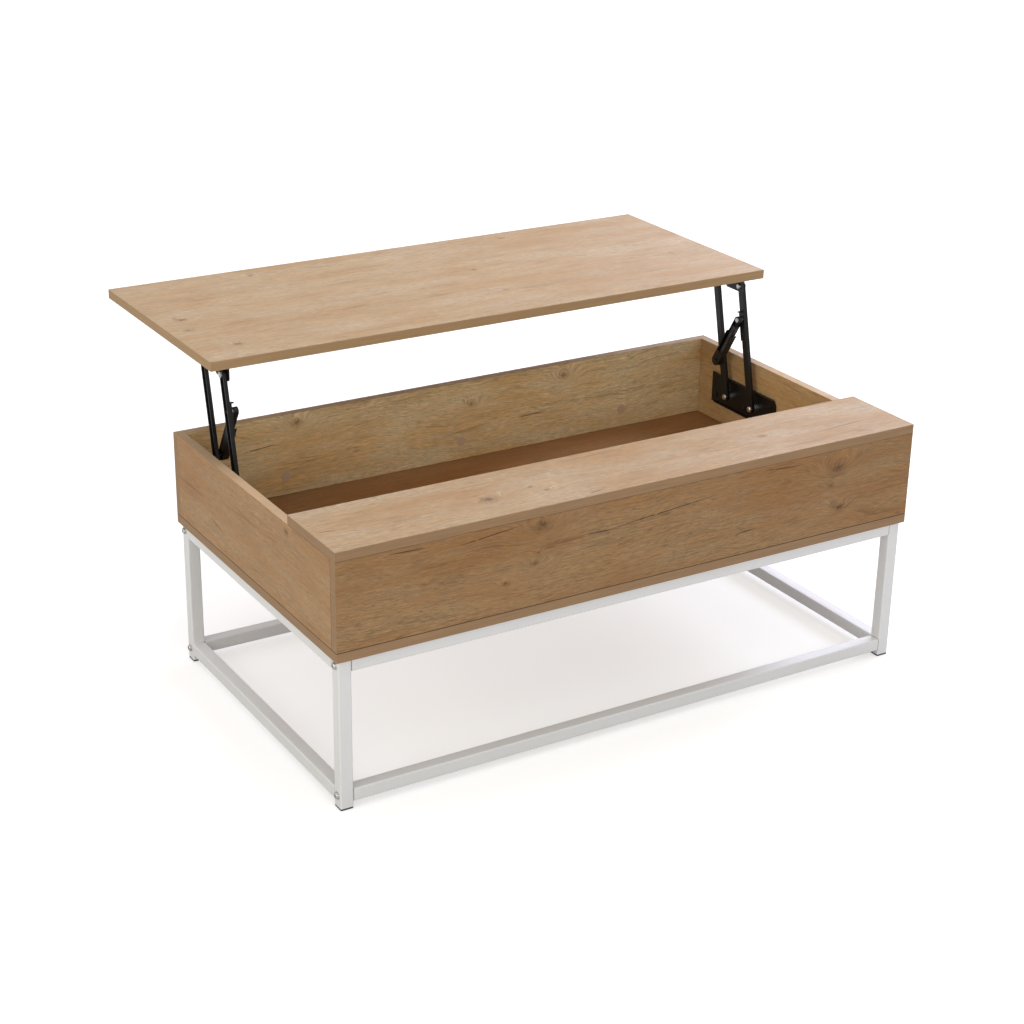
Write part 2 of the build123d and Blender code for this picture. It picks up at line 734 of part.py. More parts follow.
for name, side in SIDES.items():
    with BuildPart() as housing:
        with BuildSketch(wall_plane(side, housing_outer)) as outline:
            tongue(low_pin, link_angle, housing_half, housing_length)
        extrude(outline.sketch, amount=inward(side, housing_inner - housing_outer))
        with BuildSketch(wall_plane(side, housing_outer)) as hollow:
            tongue(low_pin, link_angle, housing_bore_half, housing_length + open_end)
        extrude(hollow.sketch, amount=inward(side, housing_web_outer - housing_outer), mode=Mode.SUBTRACT)
        with BuildSketch(wall_plane(side, housing_web_outer)) as opening:
            with Locations(along(low_pin, link_angle, window_start + window_length / 2)):
                Rectangle(window_length, 2 * housing_bore_half, rotation=link_angle)
            with Locations(low_pin):
                Circle(spring_pin_radius + running_clearance)
        extrude(opening.sketch, amount=inward(side, housing_inner - housing_web_outer), mode=Mode.SUBTRACT)
    save(housing.part, f"{name}_spring_housing")

    with BuildPart() as slider:
        with BuildSketch(wall_plane(side, slider_outer)) as outline:
            tongue(high_pin, link_angle + 180, slider_half, slider_length)
        extrude(outline.sketch, amount=inward(side, slider_inner - slider_outer))
        with BuildSketch(wall_plane(side, slider_outer + slider_web)) as hollow:
            tongue(high_pin, link_angle + 180, slider_half - slider_wall, slider_length + open_end)
        extrude(hollow.sketch, amount=inward(side, slider_depth), mode=Mode.SUBTRACT)
        with BuildSketch(wall_plane(side, slider_outer)) as bore:
            with Locations(high_pin):
                Circle(spring_pin_radius + running_clearance)
        extrude(bore.sketch, amount=inward(side, slider_web), mode=Mode.SUBTRACT)
    save(slider.part, f"{name}_spring_slider")

# Extension spring: a coil between two end eyes, one round each spring pin
wire_radius = 0.6
coil_radius = 2.9
coil_pitch = 2.2
coil_start = 16.0
coil_length = rest_line - 2 * coil_start
eye_radius = 3.4
end_turn_gap = 1.9
end_turn_thickness = 1.2
stem_length = coil_start - eye_radius - end_turn_gap
for name, side in SIDES.items():
    axis_x = side * (inner_half - coil_depth)
    line_y, line_z = cos(radians(rest_angle)), sin(radians(rest_angle))
    coil_foot = along(low_pin, rest_angle, coil_start)
    with BuildPart() as coil:
        with BuildLine() as turns:
            Helix(
                coil_pitch,
                coil_length,
                coil_radius,
                center=(axis_x, *coil_foot),
                direction=(0, line_y, line_z),
            )
        with BuildSketch(turns.wires()[0] ^ 0) as wire:
            Circle(wire_radius)
        sweep(wire.sketch, path=turns.wires()[0], is_frenet=True)
    solids = [coil.part.solids()[0]]
    for pin, angle in ((low_pin, rest_angle), (high_pin, rest_angle + 180)):
        eye_y, eye_z = cos(radians(angle)), sin(radians(angle))
        away = Plane((axis_x, *along(pin, angle, eye_radius)), x_dir=(1, 0, 0), z_dir=(0, eye_y, eye_z))
        with BuildPart() as eye:
            with Locations(Plane((axis_x, *pin), x_dir=(0, 1, 0), z_dir=(1, 0, 0))):
                Torus(eye_radius, wire_radius)
            with BuildSketch(away) as stem:
                Circle(wire_radius)
            extrude(stem.sketch, amount=stem_length)
            with BuildSketch(away.offset(stem_length)) as end_turn:
                Circle(coil_radius + wire_radius)
            extrude(end_turn.sketch, amount=end_turn_thickness)
        solids.append(eye.part.solids()[0])
    save(Compound(children=solids), f"{name}_spring")
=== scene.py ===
import json
from math import cos, pi, radians, sin
from types import SimpleNamespace

import bmesh
import bpy
from mathutils import Matrix, Vector

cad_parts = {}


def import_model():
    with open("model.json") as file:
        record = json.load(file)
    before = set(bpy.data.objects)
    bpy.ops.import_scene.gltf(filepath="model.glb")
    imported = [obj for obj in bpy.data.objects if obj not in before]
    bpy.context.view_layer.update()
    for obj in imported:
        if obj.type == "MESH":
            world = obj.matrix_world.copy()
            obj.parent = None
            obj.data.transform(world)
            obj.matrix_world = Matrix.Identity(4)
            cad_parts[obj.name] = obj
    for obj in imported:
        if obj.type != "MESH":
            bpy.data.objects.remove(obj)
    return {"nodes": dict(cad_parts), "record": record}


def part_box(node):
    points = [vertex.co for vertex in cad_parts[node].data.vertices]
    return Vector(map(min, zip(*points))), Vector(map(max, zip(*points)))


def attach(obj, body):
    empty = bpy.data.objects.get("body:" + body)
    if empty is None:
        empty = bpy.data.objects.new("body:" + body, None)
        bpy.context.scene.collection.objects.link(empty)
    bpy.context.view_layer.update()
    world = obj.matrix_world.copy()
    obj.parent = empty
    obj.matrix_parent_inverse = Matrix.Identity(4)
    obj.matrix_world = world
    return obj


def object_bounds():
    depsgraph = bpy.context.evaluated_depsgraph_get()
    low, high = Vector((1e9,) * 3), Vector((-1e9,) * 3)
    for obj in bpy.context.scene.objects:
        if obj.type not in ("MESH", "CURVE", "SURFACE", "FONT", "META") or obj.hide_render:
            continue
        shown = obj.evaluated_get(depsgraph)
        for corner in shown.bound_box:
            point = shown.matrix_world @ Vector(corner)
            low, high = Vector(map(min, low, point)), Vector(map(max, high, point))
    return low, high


# Lift top coffee table: oak-print laminate boards, white square-tube frame, black lift arms.
# Every length is in metres, in the frame of the CAD model. Colours are linear red, green and blue.

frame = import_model()
cad_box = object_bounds()
table_low, table_high = Vector(cad_box[0]), Vector(cad_box[1])
MM = 0.001
AXES = "XYZ"


def add_object(name, data, location=(0, 0, 0)):
    item = bpy.data.objects.new(name, data)
    item.location = location
    bpy.context.scene.collection.objects.link(item)
    return item


# ==== Shader graphs ================================================================================
class Graph:
    """A material's nodes, joined by plain calls. Values may be numbers, colours or sockets."""

    def __init__(self, name, roughness, metallic=0.0, specular=0.5):
        self.material = bpy.data.materials.new(name)
        self.material.use_nodes = True
        self.nodes = self.material.node_tree.nodes
        self.links = self.material.node_tree.links
        self.nodes.clear()
        output = self.nodes.new("ShaderNodeOutputMaterial")
        self.shader = self.nodes.new("ShaderNodeBsdfPrincipled")
        self.links.new(self.shader.outputs[0], output.inputs["Surface"])
        self.set("Roughness", roughness)
        self.set("Metallic", metallic)
        self.set("Specular IOR Level", specular)

    def feed(self, socket, value):
        """Link a socket's value to this one, or set it as a number or colour."""
        if isinstance(value, bpy.types.NodeSocket):
            self.links.new(value, socket)
        else:
            socket.default_value = value

    def set(self, name, value):
        """Give the shader's own input a value."""
        self.feed(self.shader.inputs[name], value)

    def math(self, operation, *values):
        node = self.nodes.new("ShaderNodeMath")
        node.operation = operation
        for socket, value in zip(node.inputs, values):
            self.feed(socket, value)
        return node.outputs[0]

    def add(self, *values):
        total = values[0]
        for value in values[1:]:
            total = self.math("ADD", total, value)
        return total

    def times(self, *values):
        product = values[0]
        for value in values[1:]:
            product = self.math("MULTIPLY", product, value)
        return product

    def ramp(self, value, low, high, start=0.0, end=1.0):
        """start to end as value goes from low to high, eased and held at both ends."""
        node = self.nodes.new("ShaderNodeMapRange")
        node.interpolation_type = "SMOOTHSTEP"
        for socket, number in zip(node.inputs, (value, low, high, start, end)):
            self.feed(socket, number)
        return node.outputs[0]

    def vector(self, x, y, z=0.0):
        node = self.nodes.new("ShaderNodeCombineXYZ")
        for socket, value in zip(node.inputs, (x, y, z)):
            self.feed(socket, value)
        return node.outputs[0]

    def noise(self, vector, scale=1.0, detail=2.0, roughness=0.5, distortion=0.0):
        node = self.nodes.new("ShaderNodeTexNoise")
        self.feed(node.inputs["Vector"], vector)
        node.inputs["Scale"].default_value = scale
        node.inputs["Detail"].default_value = detail
        node.inputs["Roughness"].default_value = roughness
        node.inputs["Distortion"].default_value = distortion
        return node.outputs[0]

    def mix(self, factor, a, b, blend="MIX"):
        """Colour a turning into colour b as factor goes from 0 to 1."""
        node = self.nodes.new("ShaderNodeMix")
        node.data_type = "RGBA"
        node.blend_type = blend
        self.feed(node.inputs["Factor"], factor)
        for socket, value in ((node.inputs[6], a), (node.inputs[7], b)):
            self.feed(socket, value if isinstance(value, bpy.types.NodeSocket) else (*value, 1.0))
        return node.outputs[2]

    def shade(self, colour, tone):
        """A colour made lighter or darker by a tone near 1."""
        return self.mix(1.0, colour, self.vector(tone, tone, tone), "MULTIPLY")

    def place(self):
        """Object coordinates, split: a CAD node's mesh lies where the piece is at rest."""
        node = self.nodes.new("ShaderNodeTexCoord")
        split = self.nodes.new("ShaderNodeSeparateXYZ")
        self.links.new(node.outputs["Object"], split.inputs[0])
        return node.outputs["Object"], split.outputs

    def towards(self, axis):
        """How squarely the surface looks up an axis, from -1 to 1."""
        node = self.nodes.new("ShaderNodeTexCoord")
        split = self.nodes.new("ShaderNodeSeparateXYZ")
        self.links.new(node.outputs["Normal"], split.inputs[0])
        return split.outputs[AXES.index(axis)]

    def facing(self, axis):
        """How squarely the surface looks along an axis, either way, from 0 to 1."""
        return self.math("ABSOLUTE", self.towards(axis))

    def bump(self, height, depth, strength=1.0):
        node = self.nodes.new("ShaderNodeBump")
        node.inputs["Distance"].default_value = depth
        node.inputs["Strength"].default_value = strength
        self.feed(node.inputs["Height"], height)
        self.links.new(node.outputs[0], self.shader.inputs["Normal"])


# ==== Oak-print laminate ===========================================================================
# Each board: the axis its faces look along, the axes along and across its grain, the light tint that
# multiplies its print and paints the light or shade on its faces, how strong its figure is, and the figure
# itself. inside is the way its inner face looks, and that face's tint, which paints the light or shade
# inside the case. Knots are (u, v, radius) and cracks (u, v) to (u, v): u and v are shares of the board's
# length and width, and radii are in millimetres. seams says how dark the line is where an end of the board
# meets another board.
# Painted light and shade: each tint stands for the light that falls on one side of the same oak print, lit on
# the tops, the inner faces and inside the back, shaded on the fronts, the sides and the case floor.
TOP_LIT_TINT = (0.80, 0.79, 0.83)
FIXED_LIT_TINT = (0.78, 0.76, 0.79)
SIDE_SHADED_TINT = (0.77, 0.66, 0.56)
FRONT_SHADED_TINT = (0.63, 0.51, 0.38)
BACK_INNER_LIT_TINT = (1.25, 1.30, 1.20)
INNER_LIT_TINT = (0.96, 0.90, 0.74)
FLOOR_SHADED_TINT = (0.63, 0.44, 0.29)
BOARDS = {
    "lift_top": {
        "faces": "Z", "along": "X", "across": "Y", "light_tint": TOP_LIT_TINT, "contrast": 1.0,
        "banding": (0.41, 0.265, 0.135),
        "knots": [
            (0.04, 0.50, 6.0), (0.03, 0.37, 4.5), (0.07, 0.14, 6.0), (0.23, 0.91, 4.0), (0.57, 0.56, 4.0),
            (0.56, 0.26, 3.5), (0.71, 0.92, 4.0), (0.92, 0.39, 3.5),
        ],
        "cracks": [(0.31, 0.91, 0.38, 0.88)],
        "seams": {},
    },
    "fixed_top": {
        "faces": "Z", "along": "X", "across": "Y", "light_tint": FIXED_LIT_TINT, "contrast": 1.1,
        "knots": [(0.27, 0.40, 9.0), (0.345, 0.48, 3.0), (0.36, 0.34, 3.0), (0.76, 0.50, 5.0)],
        "cracks": [(0.002, 0.49, 0.040, 0.44), (0.40, 0.06, 0.44, 0.09), (0.83, 0.30, 0.96, 0.38)],
        "seams": {"Z low": 0.75},
    },
    "front_panel": {
        "faces": "Y", "along": "X", "across": "Z", "light_tint": FRONT_SHADED_TINT, "contrast": 1.25,
        "inside": (1, INNER_LIT_TINT),
        "knots": [
            (0.322, 0.90, 9.0), (0.312, 0.49, 4.0), (0.318, 0.60, 2.5), (0.265, 0.33, 3.5),
            (0.853, 0.78, 11.0), (0.842, 0.58, 4.0), (0.862, 0.29, 6.0),
        ],
        "cracks": [
            (0.072, 0.96, 0.148, 0.94), (0.175, 0.87, 0.300, 0.96), (0.395, 0.68, 0.455, 0.67),
            (0.420, 0.67, 0.640, 0.80), (0.660, 0.25, 0.706, 0.28), (0.705, 0.95, 0.790, 0.91),
        ],
        "seams": {"Z low": 1.0, "Y high": 0.40},
    },
    "back_panel": {
        "faces": "Y", "along": "X", "across": "Z", "light_tint": FRONT_SHADED_TINT, "contrast": 1.30,
        "inside": (-1, BACK_INNER_LIT_TINT),
        "knots": [(0.20, 0.88, 7.0), (0.52, 0.70, 5.0), (0.70, 0.85, 6.0)],
        "cracks": [(0.10, 0.62, 0.17, 0.66), (0.60, 0.40, 0.67, 0.42)],
        "seams": {"Z low": 0.75, "Y low": 0.40},
    },
    "left_panel": {
        "faces": "X", "along": "Y", "across": "Z", "light_tint": SIDE_SHADED_TINT, "contrast": 0.95,
        "inside": (1, INNER_LIT_TINT),
        "knots": [(0.26, 0.90, 5.0)],
        "cracks": [(0.67, 0.26, 0.78, 0.32)],
        "seams": {"Z low": 0.75, "Y low": 0.45, "Y high": 0.45},
    },
    "right_panel": {
        "faces": "X", "along": "Y", "across": "Z", "light_tint": SIDE_SHADED_TINT, "contrast": 0.95,
        "inside": (-1, INNER_LIT_TINT),
        "knots": [(0.62, 0.35, 6.0)],
        "cracks": [(0.20, 0.70, 0.30, 0.66)],
        "seams": {"Z low": 0.75, "Y low": 0.45, "Y high": 0.45},
    },
    "bottom_panel": {
        "faces": "Z", "along": "X", "across": "Y", "light_tint": SIDE_SHADED_TINT, "contrast": 1.1,
        "inside": (1, FLOOR_SHADED_TINT),
        "knots": [(0.66, 0.80, 6.0), (0.35, 0.70, 5.0), (0.50, 0.30, 6.0)],
        "cracks": [(0.30, 0.40, 0.42, 0.43)],
        "seams": {"Z high": 0.80},
    },
}
LIGHT_OAK = (0.61, 0.450, 0.270)
DARK_OAK = (0.43, 0.262, 0.122)
BANDING_OAK = (0.33, 0.200, 0.102)
# Painted light: the banding on edges that face up is paler, for the light from above.
LIT_UPPER_BANDING = (0.46, 0.315, 0.190)
GREY_OAK = (0.94, 0.99, 1.07)
KNOT_BROWN = (0.17, 0.095, 0.05)
CRACK_BROWN = (0.075, 0.045, 0.028)
FLECK_PALE = (0.70, 0.55, 0.38)

# The noises that the print is made of: features a metre along the grain and across it, detail, and a
# shift that sets each apart. The grain noises run with the growth lines, round the knots.
BOARD_NOISES = {
    "drift": (1.9, 5.0, 3.0, 0.0),
    "ripple": (9.0, 34.0, 2.0, 0.0),
    "wander": (160.0, 160.0, 2.0, 5.0),
    "blotches": (3.2, 12.0, 3.0, 7.0),
    "sawn": (190.0, 26.0, 3.0, 11.0),
    "patches": (7.0, 26.0, 3.0, 13.0),
}
GRAIN_NOISES = {
    "bands": (2.4, 58.0, 4.0, 0.0),
    "growth": (2.6, 46.0, 2.0, 9.0),
    "streaks": (20.0, 300.0, 3.0, 1.0),
    "fibres": (70.0, 760.0, 2.0, 2.0),
    "pores": (80.0, 560.0, 1.0, 3.0),
    "flecks": (60.0, 420.0, 2.0, 4.0),
}
NOISE_ROUGHNESS = 0.6
GRAIN_DRIFT = 60 * MM
GRAIN_RIPPLE = 9 * MM
GROWTH_SPACING = 0.11

# How much each part of the print changes the colour, on a board of contrast 1
WARMTH = {"blotches": 2.0, "bands": 1.3, "streaks": 0.5, "patches": -0.6}
TONE = {"blotches": 0.45, "bands": 0.55, "streaks": 0.85, "fibres": 0.95}
WARM_MIX = 0.85
GREY_MIX = 0.80
SAWN_TONE = 0.26
FLECK_MIX = 0.40
PORE_MIX = 0.42
GROWTH_MIX = 0.34

# Knots, cracks, seams and banding
KNOT_PUSH = 3.0
KNOT_RAGGEDNESS = 2.2
KNOT_MIX = 0.88
HALO_MIX = 0.42
CRACK_MIX = 0.88
CRACK_WIDTH = 1.1 * MM
CRACK_WOBBLE = 3.6 * MM
SEAM_WIDTH = 1.1 * MM
STRAND_TONE = 0.44
PRINT_RELIEF = 0.12 * MM


def noise_fields(g, table, u, v, seed):
    """Each noise of the table, from -0.5 to 0.5, by u along the grain and v across it."""
    fields = {}
    for name, (along, across, detail, shift) in table.items():
        vector = g.vector(g.times(u, along), g.times(v, across), seed + shift)
        fields[name] = g.add(g.noise(vector, detail=detail, roughness=NOISE_ROUGHNESS), -0.5)
    return fields


def weighted(g, noise, weights, factor=1.0):
    """The sum of the named noises, each times its weight."""
    return g.add(*(g.times(getattr(noise, name), weight * factor) for name, weight in weights.items()))


def knot(g, u, v, wander, centre, radius):
    """A knot: how far it pushes the grain aside, and its ragged dark heart.

    The push reaches about four radii along the grain and two across it.
    """
    along = g.math("DIVIDE", g.math("SUBTRACT", u, centre[0]), radius)
    across = g.math("DIVIDE", g.math("SUBTRACT", v, centre[1]), radius)
    broad = g.add(g.math("POWER", g.times(along, 0.24), 2.0), g.math("POWER", g.times(across, 0.50), 2.0))
    swell = g.math("EXPONENT", g.times(broad, -1.0))
    reach = g.math("SQRT", g.add(g.math("POWER", g.times(along, 0.70), 2.0), g.math("POWER", across, 2.0)))
    reach = g.add(reach, g.times(wander, KNOT_RAGGEDNESS))
    heart = g.ramp(reach, 0.95, 0.20)
    stain = g.ramp(reach, 1.70, 0.80, 0.0, 0.35)
    return swell, g.math("MAXIMUM", heart, stain)


def growth_field(g, knots, u, v, noise):
    """What the growth lines follow: v, drifting across the board and swelling round the knots.

    Also the knots' hearts, and the halo of disturbed grain round them.
    """
    field = g.add(v, g.times(noise.drift, GRAIN_DRIFT), g.times(noise.ripple, GRAIN_RIPPLE))
    hearts = 0.0
    halo = 0.0
    for centre, radius in knots:
        swell, heart = knot(g, u, v, noise.wander, centre, radius)
        field = g.add(field, g.times(swell, KNOT_PUSH * radius))
        hearts = g.math("MAXIMUM", hearts, heart)
        halo = g.add(halo, swell)
    return field, hearts, halo


def oak_colour(g, noise, contrast):
    """The wood between the knots: paler and greyer in some places, darker and redder in others."""
    warm = weighted(g, noise, WARMTH)
    colour = g.mix(g.ramp(warm, -0.50, 0.50), LIGHT_OAK, DARK_OAK)
    even = tuple((light + dark) / 2 for light, dark in zip(LIGHT_OAK, DARK_OAK))
    colour = g.mix(min(WARM_MIX * contrast, 1.0), even, colour)
    colour = g.mix(g.ramp(noise.patches, -0.06, 0.20, 0.0, GREY_MIX * contrast), colour, GREY_OAK, "MULTIPLY")
    saw_marks = g.times(noise.sawn, g.ramp(noise.patches, 0.02, 0.16), SAWN_TONE * contrast)
    return g.shade(colour, g.add(1.0, weighted(g, noise, TONE, contrast), saw_marks))


def pore_mask(g, noise):
    """Short open pores, most of all where the wood is dark."""
    return g.times(g.ramp(noise.pores, 0.12, 0.22), g.ramp(g.add(noise.bands, noise.blotches), 0.06, -0.14))


def growth_mask(g, noise):
    """Thin lines where the growth noise crosses evenly spaced levels, broken along the grain."""
    crossing = g.math("PINGPONG", g.add(noise.growth, 1.0), GROWTH_SPACING)
    unbroken = g.add(noise.streaks, g.times(noise.patches, -0.8))
    return g.times(g.ramp(crossing, 0.026, 0.004), g.ramp(unbroken, -0.05, 0.12))


def crack_mask(g, u, v, wobble, start, end):
    """A thin line from start to end, each a (u, v) place on the board, widest in its middle."""
    share = g.math("DIVIDE", g.math("SUBTRACT", u, start[0]), end[0] - start[0])
    share = g.math("MINIMUM", g.math("MAXIMUM", share, 0.0), 1.0)
    middle = g.add(g.times(share, end[1] - start[1]), start[1], wobble)
    gap = g.math("ABSOLUTE", g.math("SUBTRACT", v, middle))
    half = g.times(share, g.math("SUBTRACT", 1.0, share), 4.0 * CRACK_WIDTH)
    return g.ramp(g.math("SUBTRACT", half, gap), 0.0, CRACK_WIDTH / 2)


def cracks_mask(g, ends, u, v, seed):
    """All of a board's cracks, wavering and broken."""
    waver = g.noise(g.vector(g.times(u, 42.0), seed), detail=4.0)
    wobble = g.times(g.add(waver, -0.5), CRACK_WOBBLE)
    broken = g.ramp(g.noise(g.vector(g.times(u, 90.0), seed), detail=1.0), 0.30, 0.44)
    mask = 0.0
    for start, end in ends:
        mask = g.add(mask, g.times(crack_mask(g, u, v, wobble, start, end), broken))
    return mask


def seam_mask(g, split, low, high, seams):
    """The dark line where a board's end butts against another board."""
    mask = 0.0
    for seam, darkness in seams.items():
        axis, end = seam.split()
        i = AXES.index(axis)
        edge = low[i] if end == "low" else high[i]
        gap = g.math("ABSOLUTE", g.math("SUBTRACT", split[i], edge))
        near = g.ramp(gap, SEAM_WIDTH, 0.3 * SEAM_WIDTH, 0.0, darkness)
        beside = g.ramp(g.facing(axis), 0.90, 0.80)
        mask = g.math("MAXIMUM", mask, g.times(near, beside))
    return mask


def banding_colour(g, colour, split):
    """The plain strip on a board's edges, with a straight, faint grain, and painted light on its upper side.
    """
    place = g.vector(g.times(split[0], 14.0), g.times(split[1], 14.0), g.times(split[2], 420.0))
    tone = g.add(1.0 - STRAND_TONE / 2, g.times(g.noise(place, detail=3.0), STRAND_TONE))
    # Painted light: edges that face up are mixed towards the paler banding.
    return g.shade(g.mix(g.facing("Z"), colour, LIT_UPPER_BANDING), tone)


def oak_laminate(name, board, seed):
    """A board's printed faces, with its own knots and cracks, its banded edges and its seams."""
    low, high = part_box(name)
    g = Graph(f"oak_{name}", roughness=0.55, specular=0.35)
    _, split = g.place()
    along, across = AXES.index(board["along"]), AXES.index(board["across"])
    length, width = high[along] - low[along], high[across] - low[across]
    u = g.add(split[along], -low[along])
    v = g.add(split[across], -low[across])
    knots = [((p * length, q * width), radius * MM) for p, q, radius in board["knots"]]
    cracks = [((p0 * length, q0 * width), (p1 * length, q1 * width)) for p0, q0, p1, q1 in board["cracks"]]

    fields = noise_fields(g, BOARD_NOISES, u, v, seed)
    field, hearts, halo = growth_field(g, knots, u, v, SimpleNamespace(**fields))
    noise = SimpleNamespace(**fields, **noise_fields(g, GRAIN_NOISES, u, field, seed))

    contrast = board["contrast"]
    colour = oak_colour(g, noise, contrast)
    flecks = g.times(g.ramp(noise.flecks, 0.11, 0.22), g.ramp(noise.patches, -0.02, 0.12))
    colour = g.mix(g.times(flecks, FLECK_MIX * contrast), colour, FLECK_PALE)
    pores = pore_mask(g, noise)
    colour = g.mix(g.times(pores, PORE_MIX * contrast), colour, KNOT_BROWN)
    colour = g.mix(g.times(growth_mask(g, noise), GROWTH_MIX * contrast), colour, KNOT_BROWN)

    dark_halo = g.ramp(g.times(halo, g.add(noise.bands, 0.5)), 0.20, 0.75)
    colour = g.mix(g.times(dark_halo, HALO_MIX), colour, DARK_OAK)
    ragged = g.times(hearts, g.ramp(noise.streaks, -0.16, 0.12, 0.60, 1.0))
    colour = g.mix(g.times(ragged, KNOT_MIX), colour, KNOT_BROWN)
    splits = cracks_mask(g, cracks, u, v, seed)
    colour = g.mix(g.times(splits, CRACK_MIX), colour, CRACK_BROWN)

    # Painted light and shade: the outer faces take the board's lit or shaded tint, the inner faces the tint
    # that paints the light inside the case.
    way, inner_light_tint = board.get("inside", (1, board["light_tint"]))
    inner = g.ramp(g.times(g.towards(board["faces"]), way), -0.1, 0.1)
    colour = g.mix(1.0, colour, g.mix(inner, board["light_tint"], inner_light_tint), "MULTIPLY")
    edge = g.ramp(g.facing(board["faces"]), 0.60, 0.40)
    colour = g.mix(edge, colour, banding_colour(g, board.get("banding", BANDING_OAK), split))
    seam = seam_mask(g, split, low, high, board["seams"])
    g.set("Base Color", g.mix(seam, colour, CRACK_BROWN))

    g.set("Roughness", g.ramp(g.add(noise.fibres, g.times(noise.pores, 0.5)), -0.3, 0.3, 0.50, 0.68))
    grooves = g.add(g.times(pores, -0.8), g.times(g.add(splits, seam), -1.0))
    g.bump(g.add(weighted(g, noise, {"fibres": 0.5, "streaks": 0.4}), grooves), PRINT_RELIEF, 0.6)
    return g.material


# ==== Metals, paint and plastics ===================================================================
JOINT_GREY = (0.05, 0.05, 0.05)
JOINT_WIDTH = 0.9 * MM


def powder_coat(name, colour, roughness, specular=0.5, speckle=0.06, joint=None):
    """Paint with a fine orange peel and speckle, and a dark line at both places where x is joint."""
    g = Graph(name, roughness, specular=specular)
    where, split = g.place()
    drift = g.noise(where, scale=9.0, detail=2.0)
    peel = g.noise(where, scale=1400.0, detail=1.0)
    grit = g.noise(where, scale=620.0, detail=2.0)
    tone = g.add(0.97 - speckle / 2, g.times(drift, 0.06), g.times(grit, speckle))
    painted = g.shade(colour, tone)
    if joint:
        gap = g.math("ABSOLUTE", g.math("SUBTRACT", g.math("ABSOLUTE", split[0]), joint))
        line = g.times(g.ramp(gap, JOINT_WIDTH, 0.4 * MM), g.ramp(g.facing("X"), 0.50, 0.30))
        painted = g.mix(line, painted, JOINT_GREY)
    g.set("Base Color", painted)
    g.set("Roughness", g.ramp(peel, 0.3, 0.7, roughness - 0.05, roughness + 0.06))
    g.bump(peel, 0.02 * MM, 0.5)
    return g.material


def plated_steel(name, colour, roughness):
    """Bright plating with fine handling scratches and a faint cloudiness."""
    g = Graph(name, roughness, metallic=1.0)
    where, _ = g.place()
    cloud = g.noise(where, scale=240.0, detail=3.0)
    scratch = g.noise(where, scale=2600.0, detail=2.0, distortion=2.0)
    g.set("Base Color", g.shade(colour, g.add(0.88, g.times(cloud, 0.24))))
    g.set("Roughness", g.ramp(cloud, 0.3, 0.7, roughness - 0.08, roughness + 0.12))
    g.bump(scratch, 0.01 * MM, 0.4)
    return g.material


def moulded_plastic(name, colour, roughness):
    """Plastic with a fine spark-eroded texture."""
    g = Graph(name, roughness, specular=0.4)
    where, _ = g.place()
    grain = g.noise(where, scale=1900.0, detail=2.0)
    g.set("Base Color", g.shade(colour, g.add(0.94, g.times(grain, 0.12))))
    g.set("Roughness", g.ramp(grain, 0.3, 0.7, roughness - 0.06, roughness + 0.08))
    g.bump(grain, 0.03 * MM, 0.5)
    return g.material


def beech_dowel():
    """Plain beech, with its grain drawn out along Z."""
    g = Graph("dowel_beech", roughness=0.7, specular=0.3)
    _, split = g.place()
    place = g.vector(g.times(split[0], 900.0), g.times(split[1], 900.0), g.times(split[2], 60.0))
    grain = g.noise(place, detail=3.0)
    g.set("Base Color", g.mix(grain, (0.72, 0.55, 0.35), (0.56, 0.39, 0.22)))
    g.bump(grain, 0.05 * MM, 0.5)
    return g.material


rail_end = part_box("front_upper_rail")[1].x
MATERIALS = {
    "white_frame": powder_coat("white_frame", (0.80, 0.798, 0.79), 0.36, speckle=0.14, joint=rail_end),
    "black_steel": powder_coat("black_steel", (0.005, 0.005, 0.005), 0.36, specular=0.40),
    "zinc_steel": plated_steel("zinc_steel", (0.66, 0.66, 0.65), 0.30),
    "spring_steel": plated_steel("spring_steel", (0.16, 0.16, 0.165), 0.34),
    "cap_plastic": moulded_plastic("cap_plastic", (0.52, 0.36, 0.235), 0.55),
    "glide_plastic": moulded_plastic("glide_plastic", (0.055, 0.055, 0.057), 0.55),
    "stop_rubber": moulded_plastic("stop_rubber", (0.018, 0.018, 0.018), 0.80),
    "dowel_beech": beech_dowel(),
}


def dress(node, material):
    """Give a CAD node its material."""
    for slot in frame["nodes"][node].material_slots:
        slot.material = material


for entry in frame["record"]["subparts"]:
    if entry["material_slot"] in MATERIALS:
        dress(entry["node"], MATERIALS[entry["material_slot"]])
for seed, (name, board) in enumerate(BOARDS.items()):
    dress(name, oak_laminate(name, board, 4.0 * seed + 1.0))


# ==== Weld beads ===================================================================================
BEAD_RADIUS = 1.3 * MM
BEAD_RIPPLES = 7
BEAD_WAVE = 0.13
BEAD_TAPER = 0.35
BEAD_LENGTH_SHARE = 0.82
RINGS_PER_RIPPLE = 6
BEAD_SIDES = 10


def weld_bead(mesh, middle, length):
    """A rippled bead along X, laid in the corner between a leg and a side rail."""
    steps = RINGS_PER_RIPPLE * BEAD_RIPPLES
    rings = []
    for i in range(steps + 1):
        share = i / steps
        taper = sin(pi * share) ** BEAD_TAPER if 0 < share < 1 else 0.0
        radius = BEAD_RADIUS * taper * (1.0 + BEAD_WAVE * sin(2 * pi * BEAD_RIPPLES * share))
        ring = []
        for k in range(BEAD_SIDES):
            turn = 2 * pi * k / BEAD_SIDES
            away = Vector(((share - 0.5) * length, radius * cos(turn), radius * sin(turn)))
            ring.append(mesh.verts.new(middle + away))
        rings.append(ring)
    for first, second in zip(rings, rings[1:]):
        for k in range(BEAD_SIDES):
            after = (k + 1) % BEAD_SIDES
            mesh.faces.new((first[k], first[after], second[after], second[k]))


